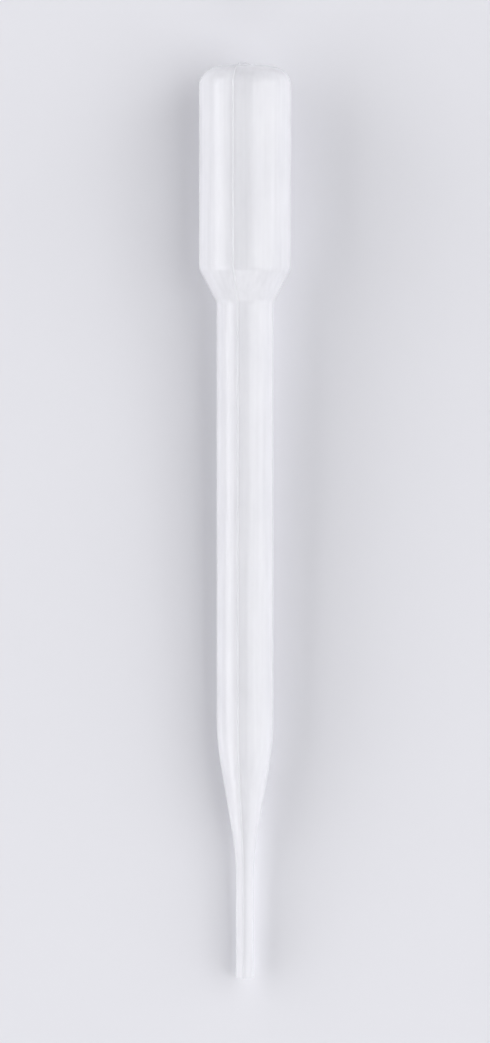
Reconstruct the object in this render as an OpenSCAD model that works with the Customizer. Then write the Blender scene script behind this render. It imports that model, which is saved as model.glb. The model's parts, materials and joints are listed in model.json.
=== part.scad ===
// Plastic dropper pipette: one hollow piece, blow-moulded in soft translucent plastic.
// The profile is drawn with the axis along +Z, the cut tip at zero and the bulb on top.
// It is then laid on its side on the surface z = 0, with the bulb towards +Y.

/* [Overall] */
// Length along the axis, from the cut tip to the end of the bulb
overall_length = 135; // [115:1:170]
// How finely round surfaces are drawn
round_steps = 96; // [48:12:192]

/* [Bulb] */
// Outside diameter of the bulb
bulb_diameter = 13.6; // [11:0.1:17]
// Length of the bulb, from its domed end to the start of the shoulder
bulb_length = 30; // [20:0.5:40]
// Wall thickness round the bulb
bulb_wall = 0.4; // [0.3:0.05:0.8]
// Wall thickness at the bulb's closed end
end_wall = 0.5; // [0.3:0.05:1]
// Rise of the shallow dome on the bulb's end
dome_rise = 0.8; // [0.4:0.1:2]
// Radius of the rounded corner between the bulb's side and its end
end_corner_radius = 3; // [2:0.1:4]

/* [Shoulder] */
// Length of the cone between the bulb and the stem
shoulder_length = 5; // [4:0.5:8]
// Radius that softens both edges of that cone
shoulder_blend = 2.5; // [1:0.1:4]

/* [Stem] */
// Outside diameter of the straight stem
stem_diameter = 8.4; // [7:0.1:10.5]
// Wall thickness of the stem
stem_wall = 0.5; // [0.35:0.05:0.9]

/* [Tip] */
// Outside diameter of the straight tip tube
tip_diameter = 2.6; // [2.1:0.1:3.4]
// Wall thickness of the tip tube
tip_wall = 0.6; // [0.4:0.05:0.8]
// Length of the straight tip tube
tip_length = 18; // [12:0.5:24]
// Length of the taper between the tip tube and the stem
taper_length = 17; // [13:0.5:24]
// Radius that softens both ends of the taper
taper_blend = 45; // [10:1:60]

/* [Moulding marks] */
// Height of the fine ridge that the mould's parting line leaves along both sides
seam_height = 0.1; // [0.05:0.01:0.2]
// Width of that ridge
seam_width = 0.25; // [0.15:0.05:0.5]
// Turn of the parting plane about the axis, up from level on the +X side
seam_turn = 105; // [0:5:180]
// Height of the weld line where the mould pinched the bulb's end shut
pinch_height = 0.3; // [0.1:0.05:0.5]
// Width of the weld line
pinch_width = 0.5; // [0.3:0.05:1]
// Length of the weld line across the end
pinch_length = 8; // [5:0.5:9]

/* [Hidden] */

bulb_radius = bulb_diameter / 2;
stem_radius = stem_diameter / 2;
tip_radius = tip_diameter / 2;

// Heights along the axis at which the profile changes
taper_start = tip_length;
taper_end = taper_start + taper_length;
bulb_start = overall_length - bulb_length;
shoulder_start = bulb_start - shoulder_length;

// Radius of the sphere that the dome is cut from, and the height of its centre
dome_radius = (bulb_radius ^ 2 + dome_rise ^ 2) / (2 * dome_rise);
dome_centre = overall_length - dome_radius;

// How far the cavity runs past the cut tip, so that the tip is open
past_tip = 1;
// Points along each kind of arc
blend_steps = 8;
corner_steps = 14;
dome_steps = 5;

function unit(v) = v / norm(v);

// Points of an arc, both ends included
function arc(centre, radius, from, to, steps) = [
    for (i = [0:steps])
        let (angle = from + (to - from) * i / steps)
        centre + radius * [cos(angle), sin(angle)]
];

// The angle turned from one heading to another, the short way round
function short_turn(from, to) = (to - from + 540) % 360 - 180;

// Half the angle inside a corner of the profile
function half_corner(before, corner, after) = acos(unit(before - corner) * unit(after - corner)) / 2;

// Centre of the arc that softens a corner between two straight runs
function blend_centre(before, corner, after, radius) =
    let (inward = unit(unit(before - corner) + unit(after - corner)))
    corner + inward * radius / sin(half_corner(before, corner, after));

// Points of that arc
function softened(before, corner, after, radius) =
    let (
        centre = blend_centre(before, corner, after, radius),
        reach = radius / tan(half_corner(before, corner, after)),
        first = corner + unit(before - corner) * reach - centre,
        last = corner + unit(after - corner) * reach - centre,
        heading = atan2(first.y, first.x),
        turn = short_turn(heading, atan2(last.y, last.x))
    )
    arc(centre, radius, heading, heading + turn, blend_steps);

// Points of the closed end: the rounded corner, then the dome up to the axis
function closed_end(side_radius, corner_radius, sphere_radius) =
    let (
        across = side_radius - corner_radius,
        along = sqrt((sphere_radius - corner_radius) ^ 2 - across ^ 2),
        meet = atan2(along, across)
    )
    concat(
        arc([across, dome_centre + along], corner_radius, 0, meet, corner_steps),
        [
            for (i = [1:dome_steps])
                let (angle = meet + (90 - meet) * i / dome_steps)
                [0, dome_centre] + sphere_radius * [cos(angle), sin(angle)]
        ]
    );

// Half section of the solid shape, as [radius, height], standing proud of the real one by proud
function outer_section(proud) =
    let (
        foot = [tip_radius + proud, 0],
        tube_top = [tip_radius + proud, taper_start],
        stem_foot = [stem_radius + proud, taper_end],
        stem_top = [stem_radius + proud, shoulder_start],
        bulb_foot = [bulb_radius + proud, bulb_start],
        bulb_top = [bulb_radius + proud, overall_length - end_corner_radius]
    )
    concat(
        [[0, 0], foot],
        softened(foot, tube_top, stem_foot, taper_blend - proud),
        softened(tube_top, stem_foot, stem_top, taper_blend + proud),
        softened(stem_foot, stem_top, bulb_foot, shoulder_blend - proud),
        softened(stem_top, bulb_foot, bulb_top, shoulder_blend + proud),
        closed_end(bulb_radius + proud, end_corner_radius + proud, dome_radius + proud)
    );

// Half section of the cavity, which runs out through the tip
function cavity_section() =
    let (
        foot = [tip_radius - tip_wall, -past_tip],
        tube_top = [tip_radius - tip_wall, taper_start],
        stem_foot = [stem_radius - stem_wall, taper_end],
        stem_top = [stem_radius - stem_wall, shoulder_start],
        bulb_foot = [bulb_radius - bulb_wall, bulb_start],
        bulb_top = [bulb_radius - bulb_wall, overall_length - end_corner_radius]
    )
    concat(
        [[0, -past_tip], foot],
        softened(foot, tube_top, stem_foot, taper_blend + tip_wall),
        softened(tube_top, stem_foot, stem_top, taper_blend - stem_wall),
        softened(stem_foot, stem_top, bulb_foot, shoulder_blend + stem_wall),
        softened(stem_top, bulb_foot, bulb_top, shoulder_blend - bulb_wall),
        closed_end(bulb_radius - bulb_wall, end_corner_radius - end_wall, dome_radius - end_wall)
    );

// At rest it touches the surface along two rings, at the softened foot of the stem and of the bulb.
// Both are arcs in the profile, so the surface is the line that touches the two arcs.
// The lower ridge then runs close beside the surface, and stops the pipette rolling.
stem_ring = blend_centre(
    [tip_radius, taper_start], [stem_radius, taper_end], [stem_radius, shoulder_start], taper_blend
);
bulb_ring = blend_centre(
    [stem_radius, shoulder_start], [bulb_radius, bulb_start],
    [bulb_radius, overall_length], shoulder_blend
);
ring_to_ring = bulb_ring - stem_ring;

// Angle between the axis and the surface, and the height of the profile's origin above it
rest_tilt = atan2(ring_to_ring.x, ring_to_ring.y)
    - asin((taper_blend - shoulder_blend) / norm(ring_to_ring));
rest_height = taper_blend + cos(rest_tilt) * stem_ring.x - sin(rest_tilt) * stem_ring.y;

// Middle of the footprint, measured from the tip's centre to the pinched end
footprint_middle =
    ((overall_length + pinch_height) * cos(rest_tilt) - tip_radius * sin(rest_tilt)) / 2;

module solid_shape() {
    rotate_extrude($fn = round_steps)
        polygon(outer_section(0));
}

module cavity() {
    rotate_extrude($fn = round_steps)
        polygon(cavity_section());
}

// A thin slab of the whole outline, of which only the outer edge stands proud of the wall
module outline_slab(proud, width) {
    rotate([90, 0, 0])
        linear_extrude(width, center = true) {
            polygon(outer_section(proud));
            mirror([1, 0])
                polygon(outer_section(proud));
        }
}

// The ridge that the mould's parting line leaves, round both sides and over the end
module parting_line() {
    outline_slab(seam_height, seam_width);
}

// The higher weld across the end, where the mould pinched the tube shut
module pinch_weld() {
    intersection() {
        outline_slab(pinch_height, pinch_width);
        translate([0, 0, overall_length])
            cube([pinch_length, 2 * pinch_width, 2 * end_corner_radius], center = true);
    }
}

module standing_pipette() {
    difference() {
        union() {
            solid_shape();
            parting_line();
            pinch_weld();
        }
        cavity();
    }
}

module pipette() {
    color([0.93, 0.93, 0.96, 0.6])
        translate([0, -footprint_middle, rest_height])
            rotate([rest_tilt - 90, 0, 0])
                rotate([0, 0, seam_turn])
                    standing_pipette();
}

pipette();
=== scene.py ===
import json
import math

import bpy
import numpy as np
from mathutils import Matrix, Vector, noise


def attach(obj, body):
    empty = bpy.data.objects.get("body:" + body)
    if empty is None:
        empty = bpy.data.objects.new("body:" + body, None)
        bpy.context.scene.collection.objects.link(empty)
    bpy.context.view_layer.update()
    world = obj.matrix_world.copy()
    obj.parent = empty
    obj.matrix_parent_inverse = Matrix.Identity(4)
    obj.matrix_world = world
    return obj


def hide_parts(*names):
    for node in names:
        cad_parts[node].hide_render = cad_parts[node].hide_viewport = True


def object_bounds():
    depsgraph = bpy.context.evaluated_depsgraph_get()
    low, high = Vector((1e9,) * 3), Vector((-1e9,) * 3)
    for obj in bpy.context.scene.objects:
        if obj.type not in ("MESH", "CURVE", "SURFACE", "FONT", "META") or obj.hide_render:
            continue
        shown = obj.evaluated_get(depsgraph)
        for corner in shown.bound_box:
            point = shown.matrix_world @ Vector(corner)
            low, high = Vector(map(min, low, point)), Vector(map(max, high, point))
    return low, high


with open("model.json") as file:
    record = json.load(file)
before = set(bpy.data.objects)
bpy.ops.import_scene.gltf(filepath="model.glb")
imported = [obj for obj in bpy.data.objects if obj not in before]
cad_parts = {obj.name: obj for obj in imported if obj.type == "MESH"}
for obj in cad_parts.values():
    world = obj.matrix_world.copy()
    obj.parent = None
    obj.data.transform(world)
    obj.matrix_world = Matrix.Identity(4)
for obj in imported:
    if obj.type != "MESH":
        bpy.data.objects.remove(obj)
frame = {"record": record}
cad_low, cad_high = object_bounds()

# ---------------------------------------------------------------------------
# Sizes, in metres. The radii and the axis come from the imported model's mounts.
# ---------------------------------------------------------------------------

MM = 0.001
mounts = {m["name"]: m for m in frame["record"]["mounts"]}


def mount_radius(name):
    return mounts[name]["dims"]["r_mm"] * MM


TIP_RADIUS = mount_radius("tip_outside")
STEM_RADIUS = mount_radius("stem_outside")
BORE_RADIUS = mount_radius("tip_bore")
BULB_RADIUS = (cad_high.x - cad_low.x) / 2

TIP_LENGTH = 18 * MM
TAPER_LENGTH = 17 * MM
TAPER_BLEND = 45 * MM
SHOULDER_LENGTH = 5 * MM
SHOULDER_BLEND = 2.5 * MM
BULB_LENGTH = 30 * MM
END_CORNER = 3 * MM
DOME_RISE = 0.8 * MM

TIP_WALL = TIP_RADIUS - BORE_RADIUS
STEM_WALL = 0.5 * MM
BULB_WALL = 0.4 * MM
END_WALL = 0.5 * MM

# The parting line, the weld across the bulb's end and the rounding of the cut tip's edges
SEAM_TURN = math.radians(105)
SEAM_HEIGHT = 0.1 * MM
SEAM_HALF_WIDTH = 0.15 * MM
PINCH_HEIGHT = 0.3 * MM
PINCH_HALF_WIDTH = 0.26 * MM
PINCH_HALF_LENGTH = 4 * MM
LIP = 0.07 * MM
# On the inside the weld is lower and wider
INNER_PINCH_HEIGHT = 0.5 * PINCH_HEIGHT
INNER_PINCH_HALF_WIDTH = 3 * PINCH_HALF_WIDTH
# The share of each half width, and of the weld's half length, that has the full height
RIDGE_FLAT, INNER_PINCH_FLAT, PINCH_LENGTH_FLAT = 0.35, 0.1, 0.86
# Both ends stop this far short of the CAD model's, to stay inside its box
TIP_SLACK = 0.01 * MM
END_SLACK = 0.035 * MM

# How far the moulded wall wanders from its true form, the outside only inwards, the size of the
# waves, and the lengths in which they fade out towards the tip and towards the axis
OUTER_WAVE, OUTER_WAVE_SIZE, OUTER_TIP_FADE, OUTER_SEED = 0.025 * MM, 7 * MM, 6 * MM, 1.7
INNER_WAVE, INNER_WAVE_SIZE, INNER_TIP_FADE, INNER_SEED = 0.05 * MM, 5 * MM, 10 * MM, 6.3
AXIS_FADE = 1.5 * MM

# Longest step along the half sections, and steps in each rounded edge of the cut tip
OUTER_STEP = 1.1 * MM
INNER_STEP = 1.6 * MM
LIP_STEPS = 4

# How dense the plastic is along the parting line, next to 1 at the weld and the cut tip
SEAM_DENSITY = 0.55

# ---------------------------------------------------------------------------
# The pipette's own frame: u across, v up, s along the axis from the cut tip
# ---------------------------------------------------------------------------

tip_mount = mounts["tip_outside"]
tip_reach = tip_mount["dims"]["length_mm"] * MM / 2 - TIP_SLACK
to_bulb = -Vector(mounts["stem_outside"]["axis"]).normalized()
tip_end = Vector(tip_mount["pos_m"]) - to_bulb * tip_reach
across = Vector((1, 0, 0))
upward = across.cross(to_bulb)
to_frame = Matrix.Translation(tip_end) @ Matrix((across, upward, to_bulb)).transposed().to_4x4()

LENGTH = (cad_high.y - tip_end.y) / to_bulb.y - PINCH_HEIGHT - END_SLACK

# ---------------------------------------------------------------------------
# Half sections, as points (radius, s) from the tip to the pole of the bulb's end
# ---------------------------------------------------------------------------

taper_end = TIP_LENGTH + TAPER_LENGTH
bulb_start = LENGTH - BULB_LENGTH
shoulder_start = bulb_start - SHOULDER_LENGTH
dome_radius = (BULB_RADIUS**2 + DOME_RISE**2) / (2 * DOME_RISE)
dome_centre = LENGTH - dome_radius


def arc(centre, radius, start, stop, steps):
    angles = np.linspace(start, stop, steps + 1)
    return np.array(centre) + radius * np.c_[np.cos(angles), np.sin(angles)]


def unit(v):
    return v / np.linalg.norm(v)


def softened(before, corner, after, radius, steps):
    """The arc that rounds a corner between two straight runs."""
    before, corner, after = (np.array(p, float) for p in (before, corner, after))
    a, b = unit(before - corner), unit(after - corner)
    half = math.acos(np.clip(a @ b, -1, 1)) / 2
    centre = corner + unit(a + b) * radius / math.sin(half)
    reach = radius / math.tan(half)
    first, last = corner + a * reach - centre, corner + b * reach - centre
    start = math.atan2(first[1], first[0])
    turn = math.atan2(last[1], last[0]) - start
    turn = (turn + math.pi) % (2 * math.pi) - math.pi
    return arc(centre, radius, start, start + turn, steps)


def closed_end(side, corner, sphere, corner_steps, dome_steps):
    """The rounded corner, and the shallow dome up to the axis in ever shorter steps."""
    flat = side - corner
    along = math.sqrt((sphere - corner) ** 2 - flat**2)
    meet = math.atan2(along, flat)
    from_axis = (math.pi / 2 - meet) * (1 - np.linspace(0, 1, dome_steps + 1)[1:]) ** 2
    dome = np.array((0, dome_centre)) + sphere * np.c_[np.sin(from_axis), np.cos(from_axis)]
    return np.vstack([arc((flat, dome_centre + along), corner, 0, meet, corner_steps), dome])


def half_section(tip, stem, bulb, walls, corner, sphere, steps):
    """The whole line. walls are how far in it runs at the tip, the stem and the bulb, and steps are
    the steps of each arc at the taper, at the shoulder, at the end's corner and on its dome."""
    foot, tube_top = (tip, LIP), (tip, TIP_LENGTH)
    stem_foot, stem_top = (stem, taper_end), (stem, shoulder_start)
    bulb_foot, bulb_top = (bulb, bulb_start), (bulb, LENGTH - END_CORNER)
    taper_steps, shoulder_steps, corner_steps, dome_steps = steps
    return np.vstack([
        [foot],
        softened(foot, tube_top, stem_foot, TAPER_BLEND + walls[0], taper_steps),
        softened(tube_top, stem_foot, stem_top, TAPER_BLEND - walls[1], taper_steps),
        softened(stem_foot, stem_top, bulb_foot, SHOULDER_BLEND + walls[1], shoulder_steps),
        softened(stem_top, bulb_foot, bulb_top, SHOULDER_BLEND - walls[2], shoulder_steps),
        closed_end(bulb, corner, sphere, corner_steps, dome_steps),
    ])


def filled_in(points, longest):
    """The same line with extra points on every run longer than longest."""
    out = [points[0]]
    for a, b in zip(points, points[1:]):
        n = max(1, math.ceil(np.linalg.norm(b - a) / longest))
        out += [a + (b - a) * k / n for k in range(1, n + 1)]
    return np.array(out)


outer_line = filled_in(
    half_section(
        TIP_RADIUS, STEM_RADIUS, BULB_RADIUS, (0, 0, 0),
        END_CORNER, dome_radius, (14, 10, 22, 26),
    ),
    OUTER_STEP,
)
inner_line = filled_in(
    half_section(
        BORE_RADIUS, STEM_RADIUS - STEM_WALL, BULB_RADIUS - BULB_WALL,
        (TIP_WALL, STEM_WALL, BULB_WALL),
        END_CORNER - END_WALL, dome_radius - END_WALL, (12, 8, 14, 18),
    ),
    INNER_STEP,
)
# The cut tip: a flat ring between two softened edges
lip_middle = (TIP_RADIUS + BORE_RADIUS) / 2
lip_line = np.vstack([
    arc((TIP_RADIUS - LIP, LIP), LIP, 0, -math.pi / 2, LIP_STEPS)[1:],
    arc((BORE_RADIUS + LIP, LIP), LIP, -math.pi / 2, -math.pi, LIP_STEPS)[:-1],
])

# ---------------------------------------------------------------------------
# The hollow shell, as one closed mesh
# ---------------------------------------------------------------------------

QUARTER = 36  # columns in a quarter turn
# Where the columns lie beside a parting line
SEAM_OFFSETS = np.array([0, 0.045, 0.085, 0.12, 0.155, 0.21, 0.29, 0.42]) * MM


def column_angles(radius):
    """Angles from one parting line, all the way round, with narrow columns along both lines."""
    even = np.arange(QUARTER + 1) * (math.pi / 2 / QUARTER)
    near = np.minimum(SEAM_OFFSETS / max(radius, 1e-9), even[: len(SEAM_OFFSETS)])
    rest = np.linspace(near[-1], math.pi / 2, QUARTER - len(SEAM_OFFSETS) + 2)[1:]
    quarter = np.r_[near, rest]
    half = np.r_[quarter[:-1], math.pi - quarter[::-1][:-1]]
    return np.r_[half, half + math.pi]


def smooth_bump(t, flat=RIDGE_FLAT):
    """1 where t is under flat, 0 beyond 1, smooth between."""
    x = np.clip((np.abs(t) - flat) / (1 - flat), 0, 1)
    return 1 - x * x * (3 - 2 * x)


def normals_of(line):
    """Outward normals (radius, s) along a half section."""
    d = np.gradient(line, axis=0)
    n = np.c_[d[:, 1], -d[:, 0]]
    return n / np.linalg.norm(n, axis=1, keepdims=True)


def wander(u, v, s, size, seed):
    """Smooth noise over the wall, from about 0 to 1, stretched along the axis."""
    p = Vector((u / size + seed, v / size + 3.1 * seed, 0.45 * s / size - seed))
    return 0.5 + 0.34 * noise.noise(p) + 0.14 * noise.noise(p * 2.3)


def wave_fade(r, s, tip_fade):
    return min(1.0, s / tip_fade, r / AXIS_FADE)


def outer_wall(u, v, s, r, off_seam, on_weld):
    """How far the outside stands proud, and how dense the plastic is there. off_seam is the
    distance from the parting plane, and on_weld is 1 along the weld's length and 0 past it."""
    ridge = smooth_bump(off_seam / SEAM_HALF_WIDTH)
    weld = smooth_bump(off_seam / PINCH_HALF_WIDTH) * on_weld
    wave = wave_fade(r, s, OUTER_TIP_FADE) * wander(u, v, s, OUTER_WAVE_SIZE, OUTER_SEED)
    lift = max(SEAM_HEIGHT * ridge, PINCH_HEIGHT * weld) - OUTER_WAVE * wave * (1 - ridge)
    return lift, max(SEAM_DENSITY * ridge, weld)


def inner_wall(u, v, s, r, off_seam, on_weld):
    """The same for the inside, where the weld thickens the wall."""
    ridge = smooth_bump(off_seam / SEAM_HALF_WIDTH)
    weld = smooth_bump(off_seam / INNER_PINCH_HALF_WIDTH, INNER_PINCH_FLAT) * on_weld
    wave = wave_fade(r, s, INNER_TIP_FADE) * (wander(u, v, s, INNER_WAVE_SIZE, INNER_SEED) - 0.5)
    return INNER_WAVE * wave - INNER_PINCH_HEIGHT * weld, max(SEAM_DENSITY * ridge, weld)


def rings(line, wall):
    """Rings of vertices (u, v, s), and each vertex's density, along a half section."""
    placed, dense = [], []
    for (r, s), (nr, ns) in zip(line, normals_of(line)):
        on_weld = 0.0
        if s > LENGTH - END_CORNER:
            on_weld = smooth_bump(r / PINCH_HALF_LENGTH, PINCH_LENGTH_FLAT)
        ring, thick = [], []
        for a in column_angles(r):
            t = a + SEAM_TURN
            off_seam = abs(r * math.sin(a))
            lift, density = wall(r * math.cos(t), r * math.sin(t), s, r, off_seam, on_weld)
            lifted = r + lift * nr
            ring.append((lifted * math.cos(t), lifted * math.sin(t), s + lift * ns))
            thick.append(density)
        placed.append(ring)
        dense.append(thick)
    return placed, dense


def lip_rings():
    """Rings round the cut tip. The parting line's ridge runs over its outer edge."""
    placed = []
    for r, s in lip_line:
        ring = []
        for a in column_angles(r):
            t = a + SEAM_TURN
            ridge = smooth_bump(abs(r * math.sin(a)) / SEAM_HALF_WIDTH) if r > lip_middle else 0.0
            lifted = r + SEAM_HEIGHT * ridge
            ring.append((lifted * math.cos(t), lifted * math.sin(t), s))
        placed.append(ring)
    return placed, [[1.0] * len(placed[0])] * len(placed)


def shell_mesh(name):
    outside, outside_dense = rings(outer_line[:-1], outer_wall)
    lip, lip_dense = lip_rings()
    inside, inside_dense = rings(inner_line[:-1], inner_wall)
    # from the outer pole down the outside, over the lip and up the inside
    stack = outside[::-1] + lip + inside
    dense = outside_dense[::-1] + lip_dense + inside_dense
    columns = len(stack[0])
    verts = [p for ring in stack for p in ring]
    weight = [w for ring in dense for w in ring]
    faces = []
    for k in range(len(stack) - 1):
        a, b = k * columns, (k + 1) * columns
        for j in range(columns):
            n = (j + 1) % columns
            faces.append((a + j, a + n, b + n, b + j))
    pole_out, pole_in = len(verts), len(verts) + 1
    verts.append((0, 0, outer_line[-1][1] + PINCH_HEIGHT))
    verts.append((0, 0, inner_line[-1][1] - INNER_PINCH_HEIGHT))
    weight += [1.0, 1.0]
    last = (len(stack) - 1) * columns
    for j in range(columns):
        n = (j + 1) % columns
        faces.append((pole_out, n, j))
        faces.append((pole_in, last + j, last + n))
    mesh = bpy.data.meshes.new(name)
    mesh.from_pydata(verts, [], faces)
    # the material's noise follows the pipette's own frame
    grain = mesh.attributes.new("grain", "FLOAT_VECTOR", "POINT")
    grain.data.foreach_set("vector", np.array(verts, np.float32).ravel())
    density = mesh.attributes.new("density", "FLOAT", "POINT")
    density.data.foreach_set("value", np.array(weight, np.float32))
    mesh.transform(to_frame)
    mesh.polygons.foreach_set("use_smooth", [True] * len(mesh.polygons))
    mesh.update()
    return mesh


pipette = bpy.data.objects.new("pipette_shell", shell_mesh("pipette_shell"))
bpy.context.scene.collection.objects.link(pipette)

# ---------------------------------------------------------------------------
# Materials
# ---------------------------------------------------------------------------


class Nodes:
    """A short way to write the nodes of a material or a world."""

    def __init__(self, owner):
        self.owner = owner
        owner.use_nodes = True
        self.tree = owner.node_tree
        self.tree.nodes.clear()

    def add(self, kind, settings=None, **sockets):
        """A node. An underscore in a socket's name stands for a space."""
        node = self.tree.nodes.new("ShaderNode" + kind)
        for key, value in (settings or {}).items():
            setattr(node, key, value)
        for key, value in sockets.items():
            self.set(node, key.replace("_", " "), value)
        return node

    def set(self, node, socket, value):
        target = node.inputs[socket]
        if isinstance(value, bpy.types.NodeSocket):
            self.tree.links.new(value, target)
        else:
            target.default_value = value

    def math(self, operation, a, b=0.0, clamp=False):
        node = self.add("Math", {"operation": operation, "use_clamp": clamp})
        self.set(node, 0, a)
        self.set(node, 1, b)
        return node.outputs[0]

    def scaled(self, value, low, high, to_low, to_high):
        """The value taken from low..high to to_low..to_high, and held at those ends."""
        node = self.add("MapRange", {"clamp": True})
        for k, x in enumerate((value, low, high, to_low, to_high)):
            self.set(node, k, x)
        return node.outputs[0]

    def noise(self, vector, scale, detail, roughness):
        node = self.add("TexNoise", Vector=vector, Scale=scale, Detail=detail, Roughness=roughness)
        return node.outputs["Fac"]

    def stretched(self, vector, scale):
        node = self.add("VectorMath", {"operation": "MULTIPLY"})
        self.set(node, 0, vector)
        self.set(node, 1, scale)
        return node.outputs[0]

    def mixed(self, fac, a, b):
        return self.add("MixRGB", Fac=fac, Color1=a, Color2=b).outputs["Color"]

    def finish(self, surface):
        out = self.add("OutputMaterial")
        self.tree.links.new(surface, out.inputs["Surface"])
        return self.owner


# Noise runs from about 0.3 to 0.7, so that is what becomes each range of values
NOISE_LOW, NOISE_HIGH = 0.3, 0.7


def milky_plastic():
    m = Nodes(bpy.data.materials.new("milky_plastic"))
    grain = m.add("Attribute", {"attribute_name": "grain"}).outputs["Vector"]
    density = m.add("Attribute", {"attribute_name": "density"}).outputs["Fac"]
    haze = m.noise(m.stretched(grain, (260, 260, 90)), 1.0, 3.0, 0.55)
    streaks = m.noise(m.stretched(grain, (1500, 1500, 40)), 1.0, 1.0, 0.5)

    # The wall lets less light straight through where the melt was cloudy or streaky, and where
    # it is thick
    clear = m.scaled(haze, NOISE_LOW, NOISE_HIGH, 0.30, 0.25)
    clear = m.math("ADD", clear, m.scaled(streaks, NOISE_LOW, NOISE_HIGH, 0.015, -0.015))
    clear = m.math("ADD", clear, m.scaled(density, 0.0, 1.0, 0.0, -0.22), clamp=True)

    colour = m.mixed(haze, (0.95, 0.95, 0.98, 1), (0.97, 0.97, 0.99, 1))
    bump = m.add("Bump", Strength=0.05, Distance=0.04 * MM, Height=streaks)

    # The roughness stays under 0.27 all over, because the denoised outlines turn scribbly where
    # some of it is above
    shader = m.add(
        "BsdfPrincipled",
        Base_Color=colour,
        Roughness=m.scaled(haze, NOISE_LOW, NOISE_HIGH, 0.20, 0.25),
        IOR=1.5,
        Transmission_Weight=clear,
        Normal=bump.outputs["Normal"],
    )
    return m.finish(shader.outputs[0])


def paper():
    m = Nodes(bpy.data.materials.new("pale_paper"))
    tone = m.noise(m.add("TexCoord").outputs["Object"], 35.0, 3.0, 0.6)
    colour = m.mixed(tone, (0.765, 0.765, 0.79, 1), (0.78, 0.78, 0.805, 1))
    shader = m.add("BsdfPrincipled", Roughness=0.75, Base_Color=colour, Specular_IOR_Level=0.0)
    return m.finish(shader.outputs[0])


pipette.data.materials.append(milky_plastic())
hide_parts("pipette")
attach(pipette, "root")

# ---------------------------------------------------------------------------
# Floor
# ---------------------------------------------------------------------------

FLOOR_HALF = 3.5
FLOOR_GAP = 0.02 * MM  # below the pipette, so that the two never share a plane

middle = (cad_low + cad_high) / 2
floor_mesh = bpy.data.meshes.new("floor")
floor_mesh.from_pydata(
    [(x * FLOOR_HALF, y * FLOOR_HALF, 0) for x, y in ((-1, -1), (1, -1), (1, 1), (-1, 1))],
    [], [(0, 1, 2, 3)],
)
floor = bpy.data.objects.new("floor", floor_mesh)
floor.location = (middle.x, middle.y, cad_low.z - FLOOR_GAP)
floor_mesh.materials.append(paper())
bpy.context.scene.collection.objects.link(floor)

# ---------------------------------------------------------------------------
# Light, drawn in the world, far off on all sides, so it is the same all over the floor
# ---------------------------------------------------------------------------

# A panel is a soft rectangle of light: the angle of its middle from straight up (positive to the
# right) and its half width in degrees, its middle and half length along Y as parts of a unit
# vector, and how bright it is. The dark gap between the left and the upper panels makes the
# streak along the bulb and the stem. The two left ones join up, and so do the upper and the right.
PANELS = {
    "left_low": (-70.5, 11.5, 0.0, 0.62, 3.3),
    "left_high": (-50.5, 10.5, 0.0, 0.62, 2.0),
    "upper": (31, 16, -0.12, 0.34, 2.5),
    "right": (63.5, 18.5, 0.0, 0.62, 2.15),
    "left_past_bulb": (-61, 21, 0.78, 0.16, 1.5),
    "upper_past_bulb": (36, 21, 0.52, 0.32, 1.15),
    "past_tip": (0, 62, -0.80, 0.12, 1.85),
}
SIDE_FADE = 2  # degrees over which a panel fades at its long sides
END_FADE = 0.04  # and along Y at its ends
# How bright the surroundings are near the floor, where they match its tone, and higher up
PALE, DIM = 0.829, 0.05
FLOOR_TINT, LIGHT_TINT = (0.946, 0.947, 1.0, 1), (0.975, 0.975, 1.0, 1)
# They are pale up to the first height and dim from the second
PALE_BELOW, DIM_ABOVE = math.sin(math.radians(6)), math.sin(math.radians(14))


def studio():
    m = Nodes(bpy.data.worlds.new("studio"))
    direction = m.add("SeparateXYZ", Vector=m.add("TexCoord").outputs["Generated"])
    turn = m.math("ARCTAN2", direction.outputs["X"], direction.outputs["Z"])
    low = m.scaled(direction.outputs["Z"], PALE_BELOW, DIM_ABOVE, 1.0, 0.0)
    light = m.scaled(low, 0.0, 1.0, DIM, PALE)
    for centre, half_width, along, half_length, bright in PANELS.values():
        off = m.math("ABSOLUTE", m.math("SUBTRACT", turn, math.radians(centre)))
        full = math.radians(half_width - SIDE_FADE)
        side = m.scaled(off, math.radians(half_width), full, 0.0, 1.0)
        off = m.math("ABSOLUTE", m.math("SUBTRACT", direction.outputs["Y"], along))
        end = m.scaled(off, half_length, half_length - END_FADE, 0.0, bright)
        light = m.math("ADD", light, m.math("MULTIPLY", side, end))
    tint = m.mixed(low, LIGHT_TINT, FLOOR_TINT)
    background = m.add("Background", Color=tint, Strength=light)
    m.add("OutputWorld", Surface=background.outputs[0])
    return m.owner


bpy.context.scene.world = studio()

# ---------------------------------------------------------------------------
# Camera, looking straight down
# ---------------------------------------------------------------------------

FILL = 0.88  # share of the frame's height that the pipette takes
DISTANCE = 0.8
SENSOR = 36  # millimetres, laid along the frame's height because that is its longer side

camera_data = bpy.data.cameras.new("camera")
camera_data.sensor_width = SENSOR
seen = (cad_high.y - cad_low.y) / FILL
camera_data.lens = SENSOR * (DISTANCE - cad_high.z / 2) / seen
camera = bpy.data.objects.new("camera", camera_data)
camera.location = (middle.x, middle.y, DISTANCE)
bpy.context.scene.collection.objects.link(camera)
bpy.context.scene.camera = camera
bpy.context.scene.view_settings.view_transform = "Standard"
